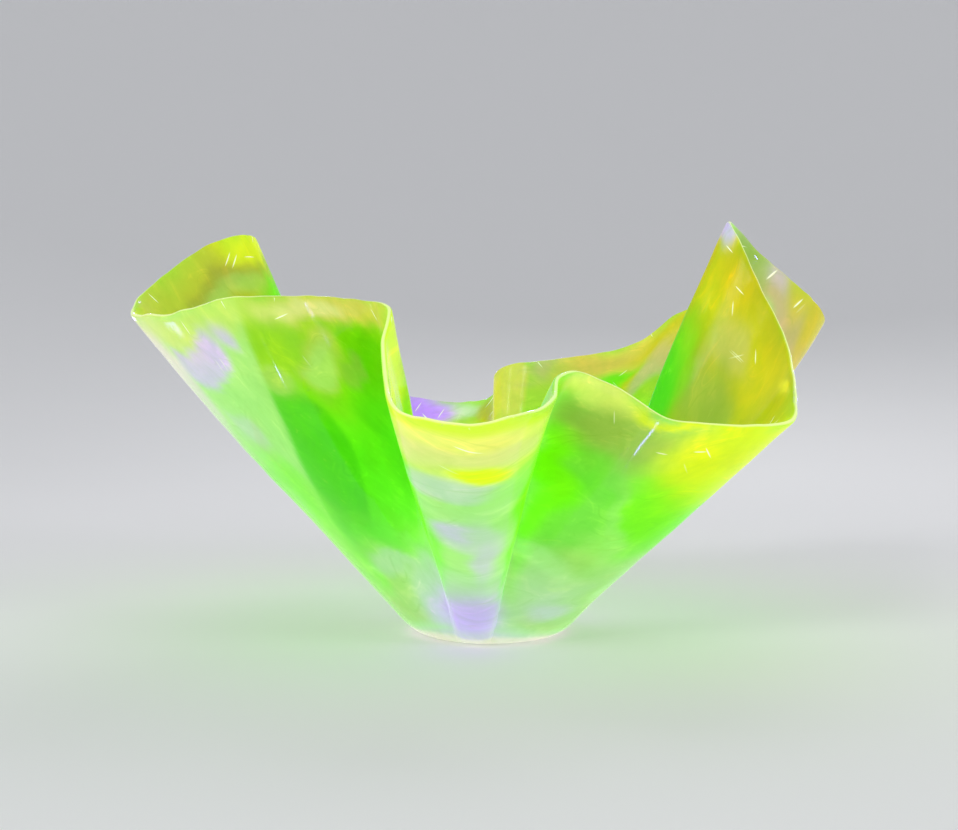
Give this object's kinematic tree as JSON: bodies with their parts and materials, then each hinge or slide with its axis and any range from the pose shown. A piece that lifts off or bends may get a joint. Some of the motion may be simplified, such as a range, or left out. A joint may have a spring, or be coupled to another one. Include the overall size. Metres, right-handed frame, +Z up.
{
  "type": "draped glass dish",
  "caption": "Free-standing handkerchief bowl: one thin sheet of streaky uranium glass, slumped into deep lobes and valleys over a small flat base.",
  "frame": {"origin": "centre of the flat underside, on the plane the dish rests on", "axes": "+Z up out of the open rim, -Y towards the low front lobe, +X along the widest span to the back right lobe"},
  "size_m": [0.3311, 0.2578, 0.185],
  "materials": {
    "streaky_glass": "glossy, streaky yellow, green and lavender, nearly opaque"
  },
  "bodies": {
    "root": {"glass_sheet": "streaky_glass"}
  },
  "joints": []
}
